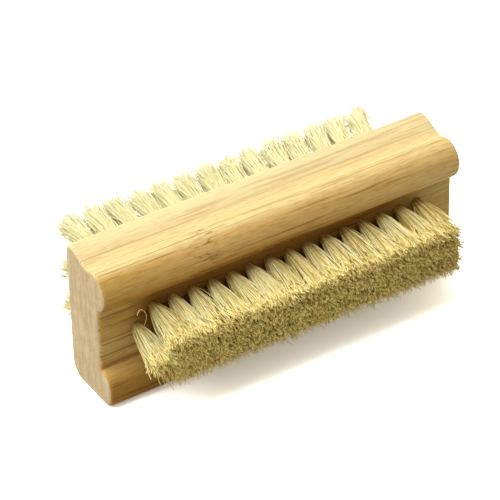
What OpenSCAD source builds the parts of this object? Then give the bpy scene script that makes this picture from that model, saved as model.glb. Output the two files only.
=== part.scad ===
/* [Block] */
// Length of the block
body_l = 95; // [80:1:130]
// Height of the block, from the base to the crest along the back
body_h = 36; // [35:0.5:46]
// Depth of the block between its two drilled faces
core_d = 13.3; // [13:0.1:18]
// Radius of the lower back edge
heel_r = 4.2; // [2:0.1:6]
// Radius on the edges of both ends
end_r = 0.9; // [0.4:0.1:1.5]

/* [Lower lip] */
// How far the lower lip stands out from the front face
lip_out = 4.1; // [3:0.1:6]
// Height of the lower lip
lip_h = 8.8; // [8:0.1:9.2]
// Radius under the lower lip
lip_under_r = 3.2; // [2:0.1:4]
// Radius on top of the lower lip
lip_top_r = 3.6; // [2:0.1:4]
// Radius in the corner between the lip and the front face
recess_r = 0.4; // [0.2:0.1:1]

/* [Upper nose] */
// Radius of the rounded nose above the front bristles
nose_r = 5; // [4:0.1:5.5]
// How far the nose stands out from the front face
nose_out = 3.45; // [2.5:0.05:4.5]
// How far the top of the nose lies below the crest
nose_drop = 1.4; // [1:0.1:2.4]

/* [Crest and valley] */
// Radius of the upper back edge
crest_r = 1.7; // [1:0.1:3]
// Width of the flat on the crest
crest_flat = 0.6; // [0.2:0.1:2]
// Distance of the valley from the back face
valley_in = 8.8; // [7:0.1:10]
// Depth of the valley below the crest
valley_drop = 2; // [1.8:0.1:3]

/* [Glued layers] */
// Thickness of the back layer of bamboo
back_ply_t = 6.5; // [6:0.1:7]
// Thickness of the middle layer of bamboo
core_ply_t = 4; // [3:0.1:5]
// Thickness of the front layer of bamboo where the front bristles are set
front_ply_t = 2.8; // [2.4:0.1:3.6]

/* [Drilled holes] */
// Diameter of the hole that a tuft stands in
hole_d = 2.6; // [2.2:0.1:3.4]
// Depth of the hole
hole_depth = 5.5; // [4.8:0.1:5.8]

/* [Front bristles] */
// Length of the front bristles beyond the face
front_len = 16; // [10:0.5:22]
// Distance from one tuft to the next in a front row
front_pitch = 5.07; // [4.8:0.01:6]
// Distance from one front row to the next
front_step = 3.9; // [3.7:0.1:4.2]
// Least distance from the end of the block to the first front tuft
front_margin = 11.5; // [9:0.1:20]
// How far the front rows sit towards the far end
front_shift = 0.8; // [0:0.1:2]
// How far the middle front row sits nearer to the near end than the rows beside it
front_skew = 1.9; // [0:0.1:2.5]
// How far the front rows sit above the middle of the front face
front_rise = 0.55; // [0:0.05:1]
// How far the front tips are all pushed towards the near end
front_push = 1; // [0:0.1:2]
// How far the front tips all hang down
front_droop = 1; // [0:0.1:2]

/* [Back bristles] */
// Length of the back bristles beyond the face
back_len = 16; // [10:0.5:22]
// Distance from one tuft to the next in a back row
back_pitch = 5.66; // [4.8:0.02:6]
// Distance from one back row to the next
back_step = 4.4; // [3.7:0.1:5]
// Least distance from the end of the block to the first back tuft
back_margin = 9.2; // [6:0.1:20]
// How far the back rows sit above the middle of the block
back_rise = 0; // [0:0.1:2]

/* [Tufts] */
// How far the outermost tufts of a row lean out at their tips
lean_along = 0.8; // [0:0.1:4]
// How far the top and bottom rows lean out at their tips
lean_across = 1.3; // [0:0.1:2.5]
// How much shorter than the rest the shortest strand is
ragged = 0.5; // [0:0.1:1.5]
// Depth of the slice of the face that joins the tufts of a row
slice_t = 1; // [0.6:0.1:1.5]

/* [Wire anchors] */
// Thickness of the flat wire anchor
anchor_t = 0.4; // [0.3:0.05:0.6]
// Height of the anchor along the hole
anchor_h = 2; // [1.5:0.1:2.2]
// How far the anchor bites into the wood on either side of the hole
anchor_bite = 0.4; // [0.2:0.05:0.6]
// Room under the anchor for the fold of the tuft
anchor_lift = 0.3; // [0.1:0.05:0.5]

/* [Hidden] */

// Rows of tufts on either face, as many as there are row nodes
front_rows = 3;
back_rows = 5;
// Room that every soft piece has beside, under or over its neighbour
clear = 0.1;
// How far cutting tools run past the face that they cut
overrun = 1;
// Facets of a drilled hole, angle of a step in the outline's arcs, and steps in a wave of the top
hole_facets = 32;
arc_step_angle = 9;
wave_steps = 7;
// Rings that round each end of the block
end_rings = 4;

// Widening of a tuft at its tips, along and across its row, as shares of its root
flare_along_share = 3.4;
flare_across_share = 2.3;
// Width of a strand at its tip, as a share of its root
swell_share = 1.05;
// Heights of a strand's rings, and what it has leaned and widened by there
ring_shares = [0, 0.45, 1];
lean_shares = [0, 0.25, 1];
spread_shares = [0, 0.5, 1];

// Depths of the two glue planes. The three layers share out the depth of the block
ply_share = core_d / (back_ply_t + core_ply_t + front_ply_t);
back_glue_d = back_ply_t * ply_share;
front_glue_d = (back_ply_t + core_ply_t) * ply_share;

lip_d = core_d + lip_out;
lip_round = min(lip_top_r, lip_out - recess_r);
nose_z = body_h - nose_drop - nose_r;
nose_in = core_d + nose_out - nose_r;
nose_start = -acos((core_d - nose_in) / nose_r);
face_top = nose_z + nose_r * sin(nose_start);
front_mid = (lip_h + face_top) / 2 + front_rise;
back_mid = body_h / 2 + back_rise;
front_count = floor((body_l - 2 * front_margin) / front_pitch) + 1;
back_count = floor((body_l - 2 * back_margin) / back_pitch) + 1;

anchor_w = hole_d + 2 * anchor_bite;
anchor_top = hole_depth - anchor_lift - anchor_h;
root_w = (hole_d - 2 * clear) / sqrt(2);
root_depth = anchor_top - clear;

// Outline of the block's end. Each point is a depth from the back face, a height above the
// base, and the outward direction, against which the point moves where an end is rounded

function arc(x, z, r, from, to) =
    let (steps = ceil((to - from) / arc_step_angle))
        [
            for (i = [0:steps])
                let (angle = from + (to - from) * i / steps)
                    [x + r * cos(angle), z + r * sin(angle), cos(angle), sin(angle)]
        ];

// A hollow corner between a floor and the wall at its back
function cove(x, z, r) =
    let (steps = ceil(90 / arc_step_angle))
        [
            for (i = [0:steps])
                let (angle = 90 * (1 - i / steps))
                    [x + r * (1 - cos(angle)), z + r * (1 - sin(angle)), cos(angle), sin(angle)]
        ];

// Half a wave that eases from one level to another, without its first point
function wave(from, to) = [
    for (i = [1:wave_steps])
        let (t = i / wave_steps)
            [from.x + (to.x - from.x) * t, from.y + (to.y - from.y) * (1 - cos(180 * t)) / 2, 0, 1]
];

// A list without its first and last items
function inner(items) = [for (i = [1:len(items) - 2]) items[i]];

nose_top = [nose_in, body_h - nose_drop];
valley = [valley_in, body_h - valley_drop];
crest = [crest_r + crest_flat, body_h];
nose_root_point = [core_d, face_top, 1, tan(nose_start / 2)];

outline = concat(
    arc(heel_r, heel_r, heel_r, 180, 270),
    arc(lip_d - lip_under_r, lip_under_r, lip_under_r, 270, 360),
    arc(lip_d - lip_round, lip_h - lip_round, lip_round, 0, 90),
    cove(core_d, lip_h, recess_r),
    [nose_root_point],
    inner(arc(nose_in, nose_z, nose_r, nose_start, 90)),
    [[nose_top.x, nose_top.y, 0, 1]],
    wave(nose_top, valley),
    wave(valley, crest),
    arc(crest_r, body_h - crest_r, crest_r, 90, 180)
);

// The part of an outline up to a depth (side 1) or beyond it (side -1). The corners of the
// cut keep to its plane where an end is rounded, because the next layer is glued on there
function cut_off(points, at, side) = [
    for (i = [0:len(points) - 1])
        let (
            a = points[i],
            b = points[(i + 1) % len(points)],
            kept = side * (at - a.x) >= 0,
            crosses = kept != (side * (at - b.x) >= 0) && a.x != at && b.x != at,
            cut = a + (b - a) * (at - a.x) / (b.x - a.x)
        )
            each concat(kept ? [a] : [], crosses ? [[at, cut.y, 0, cut[3]]] : [])
];

// Rings along the block: each end is rounded by a quarter circle. A ring has its place along
// X and how far its outline is drawn in
ring_angles = [for (i = [0:end_rings]) 90 * i / end_rings];
function ring(a, end) = [end * (body_l / 2 - end_r * (1 - cos(a))), end_r * (1 - sin(a))];
ring_places = concat(
    [for (a = ring_angles) ring(a, -1)],
    [for (i = [end_rings:-1:0]) ring(ring_angles[i], 1)]
);

// A depth from the back face as a place along Y
function y_at(depth) = core_d / 2 - depth;

// One layer of the block, between two depths from the back face
module layer(from, to) {
    section = cut_off(cut_off(outline, to, 1), from, -1);
    corners = len(section);
    last = len(ring_places) - 1;
    final = corners - 1;
    points = [
        for (ring = ring_places, p = section)
            [ring[0], y_at(p.x - ring[1] * p[2]), p.y - ring[1] * p[3]]
    ];
    sides = [
        for (r = [0:last - 1], i = [0:corners - 1])
            let (a = r * corners + i, b = r * corners + (i + 1) % corners)
                each [[a, b, b + corners], [a, b + corners, a + corners]]
    ];
    // An end is closed by triangles that share its first corner. Above the nose's root, which
    // would hide behind the recess from there, they share the last corner
    nose_root = [for (i = [1:final]) if (section[i] == nose_root_point) i];
    turn = len(nose_root) > 0 ? nose_root[0] : final;
    end_triangles = concat(
        [for (i = [1:turn - 1]) [0, i, i + 1]],
        turn < final ? [[0, turn, final]] : [],
        [for (i = [turn:1:final - 2]) [i, i + 1, final]]
    );
    near_end = [for (t = end_triangles) [t[2], t[1], t[0]]];
    far_end = [for (t = end_triangles) [for (i = t) last * corners + i]];
    polyhedron(points, concat(near_end, far_end, sides));
}

// Places of the tufts: [x, z] for each tuft of a row

// Every second front row is a tuft longer
function front_row(r) = [
    for (i = [0:front_count - 1 + r % 2])
        [
            (i - (front_count - 1 + r % 2) / 2) * front_pitch + front_shift
                + front_skew / 2 * (r % 2 == 0 ? 1 : -1),
            front_mid + (r - (front_rows - 1) / 2) * front_step
        ]
];

// Every second back row is a tuft shorter, so that its tufts stand in the gaps
function back_row(r) = [
    for (i = [0:back_count - 1 - r % 2])
        [
            (i - (back_count - 1 - r % 2) / 2) * back_pitch,
            back_mid + (r - (back_rows - 1) / 2) * back_step
        ]
];

front_places = [for (r = [0:front_rows - 1]) each front_row(r)];
back_places = [for (r = [0:back_rows - 1]) each back_row(r)];

// Carries what stands on a face at y = 0, pointing along +Y, to the front or the back face
module on_front() { translate([0, y_at(core_d), 0]) mirror([0, 1, 0]) children(); }
module on_back() { translate([0, y_at(0), 0]) children(); }

module anchor_at(place) {
    translate([place[0] - anchor_t / 2, -anchor_top - anchor_h, place[1] - anchor_w / 2])
        cube([anchor_t, anchor_h, anchor_w]);
}

// A drilled hole, and the slots that its anchor cuts beside it
module drilling(place) {
    translate([place[0], -hole_depth, place[1]])
        rotate([-90, 0, 0])
            cylinder(h = hole_depth + overrun, d = hole_d, $fn = hole_facets);
    anchor_at(place);
}

// The groove that a row's slice of the face lies in
module slice_groove(row) {
    first = row[0];
    final = row[len(row) - 1];
    side = root_w / 2 + clear;
    translate([first[0] - side, -slice_t - clear, first[1] - side])
        cube([final[0] - first[0] + 2 * side, slice_t + clear + overrun, 2 * side]);
}

module drillings() {
    on_front() {
        for (place = front_places) drilling(place);
        for (r = [0:front_rows - 1]) slice_groove(front_row(r));
    }
    on_back() {
        for (place = back_places) drilling(place);
        for (r = [0:back_rows - 1]) slice_groove(back_row(r));
    }
}

// Corners of a tuft's square root, and the offset of each of its four strands
root_corners = root_w / 2 * [[-1, -1], [1, -1], [1, 1], [-1, 1]];
function strand_offset(k) = (root_corners[k] + root_corners[(k + 1) % 4]) / 3;

// How far a tuft leans: little in the middle of its field and much at the edge
function lean_at(place, reach, most) = reach == 0 ? 0 : most * pow(place / reach, 3);

// One row of tufts as a single solid, each of four strands that fan out of a square root.
// The slice of the face between the roots joins them. All the tips move by the push
module tuft_row(row, length, field_w, field_mid, field_h, push) {
    count = len(row);
    rings = len(ring_shares);
    per_tuft = 13 + 12 * (rings - 1);
    at_top = 0;
    at_under = 5;
    at_bottom = 9;
    at_strands = 13;

    function tip(i, k) = length - ragged * (1 + sin(97 * (4 * i + k) + 41 * row[0][1])) / 2;

    function strand_points(i, k) =
        let (
            lean = push + [
                lean_at(row[i][0], field_w / 2, lean_along),
                lean_at(row[i][1] - field_mid, field_h / 2, lean_across)
            ],
            middle = strand_offset(k),
            base = [[0, 0], root_corners[k], root_corners[(k + 1) % 4]]
        )
            [
                for (j = [1:rings - 1], v = base)
                    let (
                        widen = spread_shares[j],
                        centre = row[i] + lean * lean_shares[j] + [
                            middle.x * (1 + (flare_along_share - 1) * widen),
                            middle.y * (1 + (flare_across_share - 1) * widen)
                        ],
                        p = centre + (v - middle) * (1 + (swell_share - 1) * widen)
                    )
                        [p.x, tip(i, k) * ring_shares[j], p.y]
            ];

    points = [
        for (i = [0:count - 1])
            let (c = row[i])
                each concat(
                    [[c.x, 0, c.y]],
                    [for (q = root_corners) [c.x + q.x, 0, c.y + q.y]],
                    [for (q = root_corners) [c.x + q.x, -slice_t, c.y + q.y]],
                    [for (q = root_corners) [c.x + q.x, -root_depth, c.y + q.y]],
                    [for (k = [0:3]) each strand_points(i, k)]
                )
    ];

    // Point numbers in tuft i: the corners of its root at the face, under the slice and below
    function top(i, k) = i * per_tuft + at_top + 1 + k % 4;
    function under(i, k) = i * per_tuft + at_under + k % 4;
    function bottom(i, k) = i * per_tuft + at_bottom + k % 4;
    // Corner v of strand k at ring j, where ring 0 is the root at the face
    function strand(i, k, j, v) =
        j > 0 ? i * per_tuft + at_strands + (k * (rings - 1) + j - 1) * 3 + v
        : v == 0 ? i * per_tuft + at_top
        : top(i, k + v - 1);

    function quad(a, b, c, d) = [[a, b, c], [a, c, d]];

    strand_faces = [
        for (i = [0:count - 1], k = [0:3])
            each concat(
                [
                    for (j = [0:rings - 2], v = [0:2])
                        let (w = (v + 1) % 3)
                            each quad(
                                strand(i, k, j, v), strand(i, k, j, w),
                                strand(i, k, j + 1, w), strand(i, k, j + 1, v)
                            )
                ],
                [[for (v = [0:2]) strand(i, k, rings - 1, v)]]
            )
    ];
    root_faces = [
        for (i = [0:count - 1])
            each concat(
                quad(top(i, 1), top(i, 0), under(i, 0), under(i, 1)),
                quad(top(i, 3), top(i, 2), under(i, 2), under(i, 3)),
                [for (k = [0:3]) each quad(under(i, k + 1), under(i, k), bottom(i, k), bottom(i, k + 1))],
                quad(bottom(i, 3), bottom(i, 2), bottom(i, 1), bottom(i, 0))
            )
    ];
    slice_faces = [
        for (i = [0:count - 2])
            let (n = i + 1)
                each concat(
                    quad(top(i, 1), top(n, 0), top(n, 3), top(i, 2)),
                    quad(top(n, 0), top(i, 1), under(i, 1), under(n, 0)),
                    quad(top(i, 2), top(n, 3), under(n, 3), under(i, 2)),
                    quad(under(i, 2), under(n, 3), under(n, 0), under(i, 1))
                )
    ];
    end_faces = concat(
        quad(top(0, 0), top(0, 3), under(0, 3), under(0, 0)),
        quad(top(count - 1, 2), top(count - 1, 1), under(count - 1, 1), under(count - 1, 2))
    );
    polyhedron(points, concat(strand_faces, root_faces, slice_faces, end_faces));
}

module front_tufts(r) {
    color("wheat")
        on_front()
            tuft_row(
                front_row(r), front_len, front_count * front_pitch, front_mid,
                (front_rows - 1) * front_step, [-front_push, -front_droop]
            );
}

module back_tufts(r) {
    color("wheat")
        on_back()
            tuft_row(
                back_row(r), back_len, (back_count - 1) * back_pitch, back_mid,
                (back_rows - 1) * back_step, [0, 0]
            );
}

module back_layer() {
    color("burlywood")
        difference() {
            layer(-overrun, back_glue_d);
            drillings();
        }
}

module middle_layer() {
    color("tan")
        difference() {
            layer(back_glue_d, front_glue_d);
            drillings();
        }
}

module front_layer() {
    color("burlywood")
        difference() {
            layer(front_glue_d, lip_d + overrun);
            drillings();
        }
}

module front_anchors() {
    color("silver") on_front() for (place = front_places) anchor_at(place);
}

module back_anchors() {
    color("silver") on_back() for (place = back_places) anchor_at(place);
}

back_layer();
middle_layer();
front_layer();
front_tufts(0);  // front_tufts_row_1
front_tufts(1);  // front_tufts_row_2
front_tufts(2);  // front_tufts_row_3
back_tufts(0);  // back_tufts_row_1
back_tufts(1);  // back_tufts_row_2
back_tufts(2);  // back_tufts_row_3
back_tufts(3);  // back_tufts_row_4
back_tufts(4);  // back_tufts_row_5
front_anchors();
back_anchors();
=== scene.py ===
import math
import random

import bmesh
import bpy
from mathutils import Matrix, Vector


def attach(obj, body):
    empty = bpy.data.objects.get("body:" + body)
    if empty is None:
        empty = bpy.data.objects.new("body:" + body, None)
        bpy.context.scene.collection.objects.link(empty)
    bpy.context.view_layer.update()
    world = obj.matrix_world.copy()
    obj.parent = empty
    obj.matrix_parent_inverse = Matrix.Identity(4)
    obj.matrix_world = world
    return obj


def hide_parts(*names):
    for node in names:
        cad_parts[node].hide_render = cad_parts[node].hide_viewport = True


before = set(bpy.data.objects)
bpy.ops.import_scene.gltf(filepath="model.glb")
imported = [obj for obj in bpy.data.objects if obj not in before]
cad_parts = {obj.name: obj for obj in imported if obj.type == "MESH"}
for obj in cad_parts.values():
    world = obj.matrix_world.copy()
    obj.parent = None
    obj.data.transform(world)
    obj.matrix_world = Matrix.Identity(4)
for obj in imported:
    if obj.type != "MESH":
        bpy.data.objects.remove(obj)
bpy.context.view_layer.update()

# Camera
# A long lens stands to the left of the brush and above it. It looks down on the front bristles,
# the nose above them and the near end of the block, and is turned about one degree.

azimuth, elevation, roll = (math.radians(angle) for angle in (-31.966, 35.931, -1.155))
camera_at = (-0.284369, -0.449464, 0.404185)
lens_mm, sensor_mm = 207.9, 36

backward = Vector((
    math.sin(azimuth) * math.cos(elevation),
    -math.cos(azimuth) * math.cos(elevation),
    math.sin(elevation),
))
level = Vector((math.cos(azimuth), math.sin(azimuth), 0))
upright = backward.cross(level)
across = level * math.cos(roll) + upright * math.sin(roll)
upward = upright * math.cos(roll) - level * math.sin(roll)

camera_data = bpy.data.cameras.new("camera")
camera_data.lens = lens_mm
camera_data.sensor_width = sensor_mm
camera_data.clip_start = 0.01
camera = bpy.data.objects.new("camera", camera_data)
camera.matrix_world = (
    Matrix.Translation(camera_at) @ Matrix((across, upward, backward)).transposed().to_4x4()
)
bpy.context.scene.collection.objects.link(camera)
bpy.context.scene.camera = camera

# Bamboo block
# Three strips of bamboo are glued face to face and moulded along their length: a round nose and
# a lip in front, a crest and a valley on top. The ends are sawn and their edges sanded round.

block_l, block_h = 0.095, 0.036
back_y, front_y = 0.00665, -0.00665
heel_r = 0.0042
lip_out, lip_h, lip_under_r, lip_top_r, cove_r = 0.0041, 0.0088, 0.0032, 0.0036, 0.0004
nose_r, nose_out, nose_drop = 0.005, 0.00345, 0.0014
crest_r, crest_flat = 0.0017, 0.0006
valley_in, valley_drop = 0.0088, 0.002
end_r, end_steps = 0.0009, 5
arc_step, wave_steps = 6, 12
lip_y = front_y - lip_out
nose_y = front_y - nose_out + nose_r
nose_z = block_h - nose_drop - nose_r

block = bmesh.new()


def line_to(vert, y, z):
    made = bmesh.ops.extrude_vert_indiv(block, verts=[vert])["verts"][0]
    made.co.y, made.co.z = y, z
    return made


def arc_to(vert, y, z, degrees):
    made = bmesh.ops.spin(
        block, geom=[vert], cent=(vert.co.x, y, z), axis=(1, 0, 0),
        angle=math.radians(degrees), steps=math.ceil(abs(degrees) / arc_step),
    )
    return made["geom_last"][0]


def wave_to(vert, y, z):
    from_y, from_z = vert.co.y, vert.co.z
    for i in range(1, wave_steps + 1):
        way = i / wave_steps
        eased = (1 - math.cos(math.pi * way)) / 2
        vert = line_to(vert, from_y + (y - from_y) * way, from_z + (z - from_z) * eased)
    return vert


# The moulding's outline, from the heel at the back round the lip, the nose and the crest
first = block.verts.new((-block_l / 2, back_y, heel_r))
pen = arc_to(first, back_y - heel_r, heel_r, -90)
pen = line_to(pen, lip_y + lip_under_r, 0)
pen = arc_to(pen, lip_y + lip_under_r, lip_under_r, -90)
pen = line_to(pen, lip_y, lip_h - lip_top_r)
pen = arc_to(pen, lip_y + lip_top_r, lip_h - lip_top_r, -90)
pen = line_to(pen, front_y - cove_r, lip_h)
pen = arc_to(pen, front_y - cove_r, lip_h + cove_r, 90)
drop = math.sqrt(nose_r ** 2 - (nose_y - front_y) ** 2)
pen = line_to(pen, front_y, nose_z - drop)
pen = arc_to(pen, nose_y, nose_z, -90 - math.degrees(math.atan2(drop, nose_y - front_y)))
pen = wave_to(pen, back_y - valley_in, block_h - valley_drop)
pen = wave_to(pen, back_y - crest_r - crest_flat, block_h)
pen = line_to(pen, back_y - crest_r, block_h)
pen = arc_to(pen, back_y - crest_r, block_h - crest_r, -90)
block.edges.new((pen, first))
bmesh.ops.contextual_create(block, geom=block.edges[:])
grown = bmesh.ops.extrude_face_region(block, geom=block.faces[:])["geom"]
bmesh.ops.translate(
    block, vec=(block_l, 0, 0), verts=[v for v in grown if isinstance(v, bmesh.types.BMVert)]
)
bmesh.ops.recalc_face_normals(block, faces=block.faces[:])
end_edges = [e for e in block.edges if abs(e.verts[0].co.x - e.verts[1].co.x) < 1e-6]
bmesh.ops.bevel(
    block, geom=end_edges, offset=end_r, offset_type="OFFSET", segments=end_steps, profile=0.5,
    affect="EDGES", material=-1, clamp_overlap=False,
)

# Strips and their drilled holes
# The glue lines show on the ends as two thin seams. Rows of blind holes, drilled from the back
# and from the flat between lip and nose, hold one tuft of bristles each.

back_seam, front_seam = 0.00015, -0.00385
strip_sides = {
    "back_layer": (None, back_seam),
    "middle_layer": (back_seam, front_seam),
    "front_layer": (front_seam, None),
}
hole_r, hole_depth, drill_overrun, drill_sides = 0.0013, 0.0055, 0.001, 24
front_rows, front_count, front_pitch, front_step, front_mid = 3, 15, 0.00507, 0.0039, 0.01737
front_shift, front_skew = 0.0008, 0.0019
back_rows, back_count, back_pitch, back_step, back_mid = 5, 14, 0.00566, 0.0044, 0.018

# In front the even rows have one hole more, at the back one less
front_places = [
    [
        (
            (i - (front_count - 1 + r % 2) / 2) * front_pitch + front_shift
            + front_skew / 2 * (1 if r % 2 == 0 else -1),
            front_mid + (r - (front_rows - 1) / 2) * front_step,
        )
        for i in range(front_count + r % 2)
    ]
    for r in range(front_rows)
]
back_places = [
    [
        (
            (i - (back_count - 1 - r % 2) / 2) * back_pitch,
            back_mid + (r - (back_rows - 1) / 2) * back_step,
        )
        for i in range(back_count - r % 2)
    ]
    for r in range(back_rows)
]

drills = bmesh.new()
for face_y, inwards, rows in ((front_y, 1, front_places), (back_y, -1, back_places)):
    for x, z in (place for row in rows for place in row):
        middle = face_y + inwards * (hole_depth - drill_overrun) / 2
        bmesh.ops.create_cone(
            drills, cap_ends=True, segments=drill_sides, radius1=hole_r, radius2=hole_r,
            depth=hole_depth + drill_overrun,
            matrix=Matrix.Translation((x, middle, z)) @ Matrix.Rotation(math.radians(90), 4, "X"),
        )
drill_mesh = bpy.data.meshes.new("drills")
drills.to_mesh(drill_mesh)
drills.free()
drill_set = bpy.data.objects.new("drills", drill_mesh)
bpy.context.scene.collection.objects.link(drill_set)

# How often each pattern of the wood turns over in a metre, along the grain and across it
drift_scale, broad_scale, fleck_scale = (14, 60), (9, 330), (330, 2900)
vessel_scale, crowd_scale, knot_scale = (46, 2100), (24, 420), (170, 1150)
saw_scale, speck_scale = (90, 1300, 110), 2600
# Where a darker colour comes in: from nothing at the first number to full at the second. Two
# more numbers give the least and the most of it.
broad_in, fleck_in, sawn_in = (0.34, 0.68), (0.4, 0.72, 0, 0.34), (0.3, 0.7)
streak_in, crowd_in = (0.52, 0.62), (0.44, 0.6, 0.1, 1)
dash_in, knot_in = (0.035, 0.01, 0, 0.7), (0.0052, 0.0012)
end_in, seam_in = (0.72, 0.95), (0.00014, 0.00004, 0, 0.3)
grain_wander, knot_wander, knot_darker = (0, 0.0022, 0.0022), 0.012, 0.7
gloss, wood_rough, bump_strength, bump_depth = 0.03, (0.3, 0.7, 0.5, 0.66), 0.25, 0.00006
wood_edge = math.radians(35)
glue_brown = (0.30, 0.19, 0.08)
sawn_pale, sawn_dark = (0.78, 0.65, 0.42), (0.68, 0.55, 0.33)

# Each layer is a colour and the places where it comes in, given as above. The shading layers
# multiply the wood's own colour, and the other layers cover it. They are painted shade, save for
# the browner outer side of the stem.
skin_and_painted_shade = (
    # The browner outer side of the stem, and painted shade on the front faces, most of all
    # towards the near end
    ((0.80, 0.65, 0.48), ("depth", -0.0052, -0.0082), ("along", 0.048, -0.01, 0.5, 1)),
    # Painted shade on the faces that look forward below the nose: the drilled flat and the lip
    ((0.85, 0.82, 0.70), ("front", -0.5, -0.95), ("height", 0.0262, 0.0248)),
    # Painted shadow of the tufts on the flat between them
    ((0.62, 0.45, 0.31), ("front", -0.5, -0.95), ("height", 0.0262, 0.0248),
     ("along", -0.041, -0.034), ("along", 0.042, 0.028), ("height", 0.0105, 0.0155)),
    # Painted shade in the corner under the nose
    ((0.58, 0.48, 0.34), ("depth", -0.0062, -0.0072), ("along", 0.04, -0.01),
     ("height", 0.0295, 0.0256), ("height", 0.0245, 0.0253)),
    # Painted shade on the lip
    ((0.82, 0.76, 0.60), ("depth", -0.0075, -0.0095), ("height", 0.0115, 0.009)),
    # Painted shade on the near end of the nose
    ((0.90, 0.86, 0.68), ("depth", -0.0066, -0.0084), ("along", -0.02, -0.04),
     ("height", 0.0262, 0.0285)),
)
# Upright marks of the saw, and fine specks
saw_marks = (
    ((0.52, 0.38, 0.21), ("marks", 0.45, 0.7, 0, 0.5)),
    ((0.40, 0.29, 0.16), ("specks", 0.5, 0.75, 0, 0.45)),
)


def put(tree, kind, sockets=None, out=0, **settings):
    made = tree.nodes.new("ShaderNode" + kind)
    for name, value in settings.items():
        setattr(made, name, value)
    for name, value in (sockets or {}).items():
        if isinstance(value, bpy.types.NodeSocket):
            tree.links.new(value, made.inputs[name])
        else:
            made.inputs[name].default_value = value
    return made.outputs[out]


def colour(red, green, blue):
    return (red, green, blue, 1)


def blend(tree, share, low, high, way="MIX"):
    # The Mix node's colour sockets are 6 and 7, and its colour output is 2
    return put(
        tree, "Mix", {0: share, 6: low, 7: high}, out=2, data_type="RGBA", blend_type=way
    )


def ease(tree, value, start, end, low=0.0, high=1.0):
    return put(
        tree, "MapRange",
        {"Value": value, "From Min": start, "From Max": end, "To Min": low, "To Max": high},
        interpolation_type="SMOOTHSTEP",
    )


def times(tree, value, *others):
    for other in others:
        value = put(tree, "Math", {0: value, 1: other}, operation="MULTIPLY")
    return value


def lay_on(tree, ground, layers, places, way="MIX"):
    for shade, *ranges in layers:
        share = times(tree, *(ease(tree, places[name], *limits) for name, *limits in ranges))
        ground = blend(tree, share, ground, colour(*shade), way)
    return ground


def size_of(tree, value, shift=0.0):
    moved = put(tree, "Math", {0: value, 1: shift}, operation="ADD")
    return put(tree, "Math", {0: moved}, operation="ABSOLUTE")


def axis(tree, vector, name):
    return put(tree, "SeparateXYZ", {0: vector}, out=name)


def noise(tree, vector, scale, detail, out=0):
    return put(tree, "TexNoise", {"Vector": vector, "Scale": scale, "Detail": detail}, out=out)


def streaky(tree, vector, scale, shift=0.0, detail=2, out=0):
    # A noise drawn out along the grain
    along, side = scale
    stretched = put(
        tree, "Mapping",
        {"Vector": vector, "Scale": (along, side, side), "Location": (shift, shift, shift)},
    )
    return noise(tree, stretched, 1, detail, out)


def bamboo(name, seed, pale, golden, brown, streak_share, knot_x=None):
    made = bpy.data.materials.new(name)
    made.use_nodes = True
    tree = made.node_tree
    shader = tree.nodes["Principled BSDF"]
    place = put(tree, "TexCoord", out="Object")
    facing = put(tree, "TexCoord", out="Normal")
    along, depth, height = (axis(tree, place, way) for way in "XYZ")

    # Fibres run along the strip and wander a little
    drift = streaky(tree, place, drift_scale, seed, out="Color")
    grain = put(
        tree, "VectorMath", {0: drift, 1: grain_wander, 2: place}, operation="MULTIPLY_ADD"
    )
    broad = streaky(tree, grain, broad_scale, seed + 1)
    flecks = streaky(tree, grain, fleck_scale, seed + 2, detail=3)
    # Bundles of darker vessels: broken streaks in the side grain, dots on the ends
    streaks = streaky(tree, grain, vessel_scale, seed + 3)
    crowd = streaky(tree, grain, crowd_scale, seed + 4)
    vessel = times(tree, ease(tree, streaks, *streak_in), ease(tree, crowd, *crowd_in))
    ground = blend(tree, ease(tree, broad, *broad_in), colour(*pale), colour(*golden))
    ground = blend(tree, ease(tree, flecks, *fleck_in), ground, colour(*brown))
    ground = blend(tree, times(tree, vessel, streak_share), ground, colour(*brown))

    # The knot where the stem had a joint: thin faint dashes along the grain
    if knot_x is not None:
        dashes = streaky(tree, grain, knot_scale, seed + 5, detail=1)
        ring = put(tree, "Math", {0: drift, 1: knot_wander, 2: along}, operation="MULTIPLY_ADD")
        knot = times(
            tree, ease(tree, size_of(tree, dashes, -0.5), *dash_in),
            ease(tree, size_of(tree, ring, -knot_x - knot_wander / 2), *knot_in),
        )
        ground = blend(tree, knot, ground, colour(*(share * knot_darker for share in brown)))

    places = {
        "along": along, "depth": depth, "height": height, "front": axis(tree, facing, "Y"),
    }
    # Painted shade on the front faces, under the nose and round the tufts, with the browner outer
    # side of the stem
    ground = lay_on(tree, ground, skin_and_painted_shade, places, "MULTIPLY")

    # Sawn end grain is greyer
    places["marks"] = noise(
        tree, put(tree, "Mapping", {"Vector": place, "Scale": saw_scale}), 1, 3
    )
    places["specks"] = noise(tree, place, speck_scale, 2)
    sawn = blend(tree, ease(tree, broad, *sawn_in), colour(*sawn_pale), colour(*sawn_dark))
    sawn = lay_on(tree, sawn, saw_marks, places)
    end = ease(tree, size_of(tree, axis(tree, facing, "X")), *end_in)
    ground = blend(tree, end, ground, sawn)

    for seam in (back_seam, front_seam):
        on_seam = ease(tree, size_of(tree, depth, -seam), *seam_in)
        ground = blend(tree, on_seam, ground, colour(*glue_brown))

    tree.links.new(ground, shader.inputs["Base Color"])
    shader.inputs["Specular IOR Level"].default_value = gloss
    tree.links.new(ease(tree, flecks, *wood_rough), shader.inputs["Roughness"])
    relief = put(tree, "Math", {0: vessel, 1: -0.5, 2: flecks}, operation="MULTIPLY_ADD")
    bump = {"Strength": bump_strength, "Distance": bump_depth, "Height": relief}
    tree.links.new(put(tree, "Bump", bump), shader.inputs["Normal"])
    return made


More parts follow.
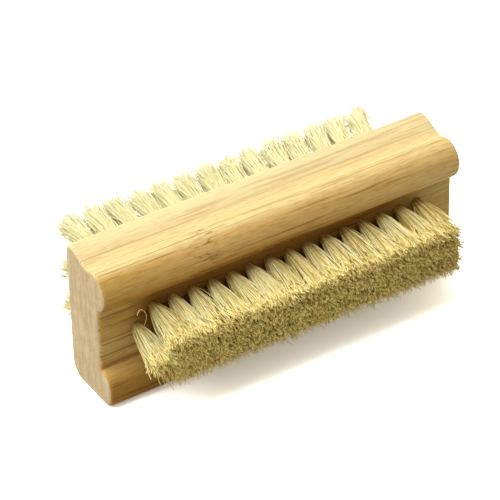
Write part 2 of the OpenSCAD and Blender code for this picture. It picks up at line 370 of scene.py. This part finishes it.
# Seed of the grain, three shades, how dark the vessels are, and where a knot lies
strip_finish = {
    "back_layer": bamboo(
        "bamboo_back", 3.1, (0.89, 0.77, 0.44), (0.84, 0.70, 0.36), (0.62, 0.42, 0.18), 0.55
    ),
    "middle_layer": bamboo(
        "bamboo_middle", 17.7, (0.88, 0.76, 0.42), (0.83, 0.67, 0.33), (0.58, 0.38, 0.15), 0.55
    ),
    "front_layer": bamboo(
        "bamboo_front", 41.3, (0.88, 0.75, 0.39), (0.80, 0.62, 0.27), (0.42, 0.24, 0.07), 0.8,
        knot_x=-0.021,
    ),
}
for name, (back_side, front_side) in strip_sides.items():
    strip = block.copy()
    for side, outwards in ((back_side, 1), (front_side, -1)):
        if side is None:
            continue
        cut = bmesh.ops.bisect_plane(
            strip, geom=strip.verts[:] + strip.edges[:] + strip.faces[:],
            plane_co=(0, side, 0), plane_no=(0, outwards, 0), clear_outer=True,
        )["geom_cut"]
        rim = [e for e in cut if isinstance(e, bmesh.types.BMEdge)]
        bmesh.ops.contextual_create(strip, geom=rim)
    bmesh.ops.recalc_face_normals(strip, faces=strip.faces[:])
    mesh = bpy.data.meshes.new(name + "_bamboo")
    strip.to_mesh(mesh)
    strip.free()
    piece = bpy.data.objects.new(name + "_bamboo", mesh)
    bpy.context.scene.collection.objects.link(piece)
    drilled = piece.modifiers.new("drilled", "BOOLEAN")
    drilled.operation, drilled.solver, drilled.object = "DIFFERENCE", "EXACT", drill_set
    shape = piece.evaluated_get(bpy.context.evaluated_depsgraph_get())
    piece.data = bpy.data.meshes.new_from_object(shape)
    piece.modifiers.clear()
    piece.data.materials.clear()
    piece.data.materials.append(strip_finish[name])
    piece.data.shade_smooth()
    piece.data.set_sharp_from_angle(angle=wood_edge)
    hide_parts(name)
    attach(piece, "root")
block.free()
bpy.data.objects.remove(drill_set)

# Wire anchors
# A flat piece of wire is driven edge on into each hole over the folded tuft, and bites into the
# wood on both sides. It is steel, bright on its flats.

wire_dark, wire_bright = (0.46, 0.45, 0.43), (0.66, 0.65, 0.62)
drawn_scale, wire_rough = (900, 9000), (0.3, 0.7, 0.26, 0.44)

wire = bpy.data.materials.new("anchor_wire")
wire.use_nodes = True
tree = wire.node_tree
wire_shader = tree.nodes["Principled BSDF"]
wire_shader.inputs["Metallic"].default_value = 1
drawn = streaky(tree, put(tree, "TexCoord", out="Object"), drawn_scale)
tree.links.new(
    blend(tree, drawn, colour(*wire_dark), colour(*wire_bright)),
    wire_shader.inputs["Base Color"],
)
tree.links.new(ease(tree, drawn, *wire_rough), wire_shader.inputs["Roughness"])
for name in ("front_anchors", "back_anchors"):
    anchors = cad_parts[name]
    anchors.data.materials.clear()
    anchors.data.materials.append(wire)

# Bristles
# Each tuft is a bundle of pale plant fibres, folded over its anchor at the bottom of the hole.
# The fibres stand close at the root, fan out to meet their neighbours and are cut off level.

fibre_count, fibre_r, thinnest, thickest = 220, 0.000092, 0.72, 1.25
bristle_l, hidden_root = 0.016, 0.003
bundle_r, root_squeeze = 0.00114, 0.95
next_turn, turn_play = math.radians(137.508), 0.2
heights, fibre_edge = (0, 0.22, 0.48, 0.75, 0.9, 1), math.radians(60)
# Tips gather in clumps, and each tuft and clump has its own tone and length
clumps, clump_pull, clump_tone, clump_cut = 16, 0.35, 0.09, 0.0001
tuft_play_x, tuft_play_z, tuft_tone_play = 0.00025, 0.00018, 0.05
# How far single fibres stray, bow and flick, and how many are short
tip_play_x, tip_play_z, stray_share, stray_by = 0.0004, 0.00028, 0.03, 3.5
bow_play_x, bow_play_z, flick_play_x, flick_play_z = 0.00045, 0.0004, 0.0007, 0.0005
flick_power, ripple_play, ripple_least, ripple_most = 7, 0.00016, 0.5, 1.5
short_share, short_most = 0.06, 0.0025
# The heart of a bundle is a few thick strands that stop short of the tips
heart_count, heart_out, heart_short, heart_cut = 8, 0.5, 0.0011, 0.0006
heart_root, heart_tip, swell_power = 2.7, 5, 0.8
# The hearts fill the inside of the bundle, and their darker, golden tone is painted shade seen in
# the gaps between the fibres
heart_share, heart_least, heart_most = 0.6, 0.04, 0.25
lightest_tone, tone_rise, tone_fall = 1.4, 1.4, 0.95

# The field of tufts and how far its outer tufts lean out, how far all tips are pushed over, how
# many times wider a tuft is at its tips and how late it opens, how much shorter its rim and its
# odd fibres are, and how much darker the far tufts are than the near ones
front_way = {
    "field_l": front_count * front_pitch, "field_mid": front_mid,
    "field_h": (front_rows - 1) * front_step, "lean_along": 0.0003, "lean_across": 0.0003,
    "tips_x": -0.0011, "tips_z": -0.001, "fan_along": 2.8, "fan_across": 2.1, "open": 1.15,
    "dome": 0.0003, "ragged": 0.0015, "fade": 0.36,
}
back_way = {
    "field_l": (back_count - 1) * back_pitch, "field_mid": back_mid,
    "field_h": (back_rows - 1) * back_step, "lean_along": 0.0022, "lean_across": 0.0023,
    "tips_x": 0, "tips_z": 0, "fan_along": 2.6, "fan_across": 2.6, "open": 1.45,
    "dome": 0.0005, "ragged": 0.001, "fade": 0,
}
front_lightness = 0
# The upper back rows are paler and the lower ones more golden: painted light on the crest of the
# fringe and painted shade in the rows under it
back_lightness = (0.55, 0.55, 0.6, 0.7, 0.8)
front_seed, back_seed = 100, 200

straw, mottle_scale, fibre_roughness = (0.73, 0.58, 0.18), 420, 0.6
fibre_layers = (
    # Every fibre has its own tone, from brown over straw and cream to pale, and brown flecks
    ((0.94, 0.88, 0.48), ("tone", 0.1, 0.7)),
    ((0.46, 0.30, 0.06), ("tone", 0.2, 0.0)),
    ((0.98, 0.94, 0.62), ("tone", 0.8, 1)),
    ((1, 0.97, 0.63), ("tone", 1, 1.3)),
    ((0.58, 0.46, 0.17), ("mottle", 0.52, 0.75, 0, 0.3)),
    # Painted light on the tips: those in front, the lowest of them, and the upper ones at the
    # back
    ((1, 0.90, 0.43), ("depth", -0.016, -0.0215, 0, 0.95), ("tone", 0.1, 0.45, 0.15, 1)),
    ((1, 0.95, 0.66), ("depth", -0.017, -0.0205), ("height", 0.0118, 0.0098)),
    ((1, 1, 0.8), ("depth", 0.015, 0.022, 0, 0.6), ("height", 0.022, 0.029)),
    # The cut ends are yellower
    ((1, 0.87, 0.37), ("cut end", 0.8, 0.95, 0, 0.85)),
)
# Painted shade on the roots, where the fibres come out of the wood
root_painted_shade = (((0.64, 0.50, 0.32), ("out", 0.0102, 0.0066)),)

bristle = bpy.data.materials.new("plant_fibre")
bristle.use_nodes = True
tree = bristle.node_tree
fibre_shader = tree.nodes["Principled BSDF"]
place = put(tree, "TexCoord", out="Object")
facing = put(tree, "TexCoord", out="Normal")
depth = axis(tree, place, "Y")
places = {
    "tone": put(tree, "Attribute", out="Fac", attribute_name="tone"),
    "mottle": noise(tree, place, mottle_scale, 2),
    "depth": depth, "height": axis(tree, place, "Z"), "out": size_of(tree, depth),
    "cut end": size_of(tree, axis(tree, facing, "Y")),
}
cream = lay_on(tree, colour(*straw), fibre_layers, places)
cream = lay_on(tree, cream, root_painted_shade, places, "MULTIPLY")
tree.links.new(cream, fibre_shader.inputs["Base Color"])
fibre_shader.inputs["Roughness"].default_value = fibre_roughness
fibre_shader.inputs["Specular IOR Level"].default_value = 0


def new_fibres(name, thickness, roundness):
    curve = bpy.data.curves.new(name, "CURVE")
    curve.dimensions = "3D"
    curve.bevel_depth = thickness
    curve.bevel_resolution = roundness
    curve.use_fill_caps = True
    return curve


def place_fibres(curve, name, tones, node=None):
    drawn = bpy.data.objects.new(name, curve)
    bpy.context.scene.collection.objects.link(drawn)
    bpy.context.view_layer.update()
    mesh = bpy.data.meshes.new_from_object(
        drawn.evaluated_get(bpy.context.evaluated_depsgraph_get())
    )
    bpy.data.objects.remove(drawn)
    mesh.name = name
    each = len(mesh.vertices) // len(tones)
    layer = mesh.attributes.new("tone", "FLOAT", "POINT")
    layer.data.foreach_set("value", [value for value in tones for _ in range(each)])
    mesh.materials.clear()
    mesh.materials.append(bristle)
    mesh.shade_smooth()
    mesh.set_sharp_from_angle(angle=fibre_edge)
    piece = bpy.data.objects.new(name, mesh)
    bpy.context.scene.collection.objects.link(piece)
    if node is not None:
        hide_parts(node)
    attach(piece, "root")


def lean_at(place, reach, most, power):
    return most * math.copysign(abs(place / reach) ** power, place)


def clump_points(chance, way):
    points = []
    for _ in range(clumps):
        turn, reach = chance.uniform(0, 2 * math.pi), bundle_r * math.sqrt(chance.random())
        points.append((
            reach * math.cos(turn) * way["fan_along"],
            reach * math.sin(turn) * way["fan_across"],
            chance.gauss(0, clump_tone), chance.gauss(0, clump_cut),
        ))
    return points


def fan_out(turn, reach, way):
    # A round bundle opens into a square one, so that neighbours meet
    u, v = reach * math.cos(turn), reach * math.sin(turn)
    corner = (math.cos(turn) ** 4 + math.sin(turn) ** 4) ** -0.25
    length = bristle_l - way["dome"] * (reach / bundle_r) ** 2
    return u, v, u * way["fan_along"] * corner, v * way["fan_across"] * corner, length


def single_fibre(k, chance, way, points, tuft_tone):
    turn = next_turn * k + chance.uniform(-turn_play, turn_play)
    reach = bundle_r * math.sqrt((k + 0.5) / fibre_count)
    u, v, tip_x, tip_z, length = fan_out(turn, reach, way)
    stray = stray_by if chance.random() < stray_share else 1
    clump = min(points, key=lambda point: math.hypot(tip_x - point[0], tip_z - point[1]))
    tip_x += (clump[0] - tip_x) * clump_pull + chance.gauss(0, tip_play_x) * stray
    tip_z += (clump[1] - tip_z) * clump_pull + chance.gauss(0, tip_play_z) * stray
    bow = chance.gauss(0, bow_play_x), chance.gauss(0, bow_play_z)
    flick = chance.gauss(0, flick_play_x), chance.gauss(0, flick_play_z)
    length = min(length + clump[3] - abs(chance.gauss(0, way["ragged"])), bristle_l)
    if chance.random() < short_share:
        length -= chance.uniform(0, short_most)
    thick = chance.uniform(thinnest, thickest)
    shade = chance.betavariate(tone_rise, tone_fall) + tuft_tone + clump[2]
    return u, v, tip_x, tip_z, length, bow, flick, (thick, thick), shade


def heart_strand(k, chance, way, lightness):
    # The last one stands in the middle, the others in a ring round it
    turn = 2 * math.pi * k / (heart_count - 1)
    reach = bundle_r * heart_out if k < heart_count - 1 else 0
    u, v, tip_x, tip_z, length = fan_out(turn, reach, way)
    length -= heart_short + chance.uniform(0, heart_cut)
    shade = lightness * heart_share + chance.uniform(heart_least, heart_most)
    return u, v, tip_x, tip_z, length, (0, 0), (0, 0), (heart_root, heart_tip), shade


def set_bristles(name, node, row, face_y, outwards, way, lightness, seed):
    chance = random.Random(seed)
    curve = new_fibres(name, fibre_r, 0)
    tones = []
    for x, z in row:
        lean_x = lean_at(x, way["field_l"] / 2, way["lean_along"], power=1)
        lean_x += way["tips_x"] + chance.gauss(0, tuft_play_x)
        off_mid = z - way["field_mid"]
        lean_z = lean_at(off_mid, way["field_h"] / 2, way["lean_across"], power=2)
        lean_z += way["tips_z"] + chance.gauss(0, tuft_play_z)
        tuft_tone = lightness - way["fade"] * x / way["field_l"]
        tuft_tone += chance.gauss(0, tuft_tone_play)
        points = clump_points(chance, way)
        for k in range(fibre_count + heart_count):
            if k < fibre_count:
                strand = single_fibre(k, chance, way, points, tuft_tone)
            else:
                strand = heart_strand(k - fibre_count, chance, way, lightness)
            u, v, tip_x, tip_z, length, bow, flick, (thin, thick), shade = strand
            tip_x, tip_z = tip_x + lean_x, tip_z + lean_z
            swing = chance.uniform(ripple_least, ripple_most)
            phase = chance.uniform(0, 2 * math.pi)
            wave = chance.gauss(0, ripple_play)
            line = curve.splines.new("POLY")
            line.points.add(len(heights))
            spots = [(x + u * root_squeeze, face_y - outwards * hidden_root,
                      z + v * root_squeeze, 1)]
            for h in heights:
                spread = h ** way["open"]
                bend, curl = 4 * h * (1 - h), h ** flick_power
                ripple = wave * math.sin(phase + swing * 2 * math.pi * h) * h
                spots.append((
                    x + u + (tip_x - u) * spread + bow[0] * bend + flick[0] * curl + ripple,
                    face_y + outwards * length * h,
                    z + v + (tip_z - v) * spread + bow[1] * bend + flick[1] * curl + ripple,
                    1,
                ))
            line.points.foreach_set("co", [c for spot in spots for c in spot])
            line.points.foreach_set(
                "radius", [thin] + [thin + (thick - thin) * h ** swell_power for h in heights]
            )
            tones.append(min(max(shade, 0), lightest_tone))
    place_fibres(curve, name, tones, node)


for r, row in enumerate(front_places):
    set_bristles(
        f"front_bristles_row_{r + 1}", f"front_tufts_row_{r + 1}", row, front_y, -1, front_way,
        front_lightness, front_seed + r,
    )
for r, row in enumerate(back_places):
    set_bristles(
        f"back_bristles_row_{r + 1}", f"back_tufts_row_{r + 1}", row, back_y, 1, back_way,
        back_lightness[r], back_seed + r,
    )

# Loose fibres
# A few bristles have worked loose from the first tufts: one is curled up beside its tuft, the
# others stick out below. They are single fibres, held in their tuft's hole like the rest.

loose_thin, loose_tone, mm_per_m = 0.75, 0.35, 1000
loose_ways = (
    ((-38.2, -4, 17.4), (-38.2, -6.6, 17.4), (-38.2, -9, 17.4), (-38.3, -10.5, 19.7),
     (-38.4, -12, 22.3), (-38.8, -13, 24.7), (-39.9, -14, 27), (-41.2, -14.6, 28.4),
     (-41.9, -14.9, 28.3), (-42.3, -15, 27.3)),
    ((-38.4, -4, 17.2), (-38.5, -6.6, 17.2), (-40.1, -10, 16.5), (-41.8, -15, 17.1),
     (-43.3, -20, 16.6), (-43.9, -22.6, 15.4)),
    ((-38, -4, 17), (-38, -6.6, 17), (-39, -14, 15.6), (-40, -19, 13.9), (-40.1, -22.6, 11.6)),
)
loose = new_fibres("loose_fibres", fibre_r * loose_thin, 1)
loose.resolution_u = 5
for way in loose_ways:
    line = loose.splines.new("NURBS")
    line.points.add(len(way) - 1)
    line.order_u = 4
    line.use_endpoint_u = True
    line.points.foreach_set(
        "co", [c for spot in way for c in (*(v / mm_per_m for v in spot), 1)]
    )
place_fibres(loose, "loose_fibres", [loose_tone])

# Table and light
# The brush stands on a white table that runs out of sight. A large soft lamp hangs above it, to
# the left and behind, and the room adds a weak light from all round.

table_half, table_gap = 3, 0.00002
table_dull, table_white, table_glow = (0.5, 0.47, 0.42), (0.89, 0.93, 0.99), (0.8, 0.94, 1)
glow_strength = 0.17
room_low, room_high = (0.13, 0.105, 0.075), (0.62, 0.55, 0.43)
lamp_strength, lamp_spread, lamp_from = 2.75, math.radians(64), (-0.38, 0.23, 0.9)


def seen_directly(tree):
    # What the camera sees, also in a reflection or through glass
    rays = tree.nodes.new("ShaderNodeLightPath").outputs
    seen = rays["Is Camera Ray"]
    for other in ("Is Glossy Ray", "Is Transmission Ray"):
        seen = put(tree, "Math", {0: seen, 1: rays[other]}, operation="MAXIMUM")
    return seen


table = bmesh.new()
bmesh.ops.create_grid(table, x_segments=1, y_segments=1, size=table_half)
bmesh.ops.translate(table, vec=(0, 0, -table_gap), verts=table.verts[:])
table_mesh = bpy.data.meshes.new("table")
table.to_mesh(table_mesh)
table.free()
table_top = bpy.data.objects.new("table", table_mesh)
bpy.context.scene.collection.objects.link(table_top)

# The table looks white and still holds the brush's shadow, but throws little light back up
paper = bpy.data.materials.new("white_table")
paper.use_nodes = True
tree = paper.node_tree
tree.nodes.remove(tree.nodes["Principled BSDF"])
dull = put(tree, "BsdfDiffuse", {"Color": colour(*table_dull)})
bright = put(tree, "BsdfDiffuse", {"Color": colour(*table_white)})
glow = put(tree, "Emission", {"Color": colour(*table_glow), "Strength": glow_strength})
lit = bright
for more in (bright, bright, glow):
    lit = put(tree, "AddShader", {0: lit, 1: more})
tree.links.new(
    put(tree, "MixShader", {0: seen_directly(tree), 1: dull, 2: lit}),
    tree.nodes["Material Output"].inputs["Surface"],
)
table_mesh.materials.append(paper)

room = bpy.data.worlds.new("room")
room.use_nodes = True
tree = room.node_tree
rise = axis(tree, put(tree, "TexCoord", out="Generated"), "Z")
walls = blend(tree, ease(tree, rise, 0, 0.9), colour(*room_low), colour(*room_high))
tree.links.new(
    blend(tree, seen_directly(tree), walls, colour(1, 1, 1)),
    tree.nodes["Background"].inputs["Color"],
)
bpy.context.scene.world = room

lamp = bpy.data.lights.new("lamp", "SUN")
lamp.energy = lamp_strength
lamp.angle = lamp_spread
lamp_stand = bpy.data.objects.new("lamp", lamp)
lamp_stand.rotation_mode = "QUATERNION"
lamp_stand.rotation_quaternion = Vector(lamp_from).to_track_quat("Z", "Y")
bpy.context.scene.collection.objects.link(lamp_stand)

bpy.context.scene.view_settings.view_transform = "Standard"
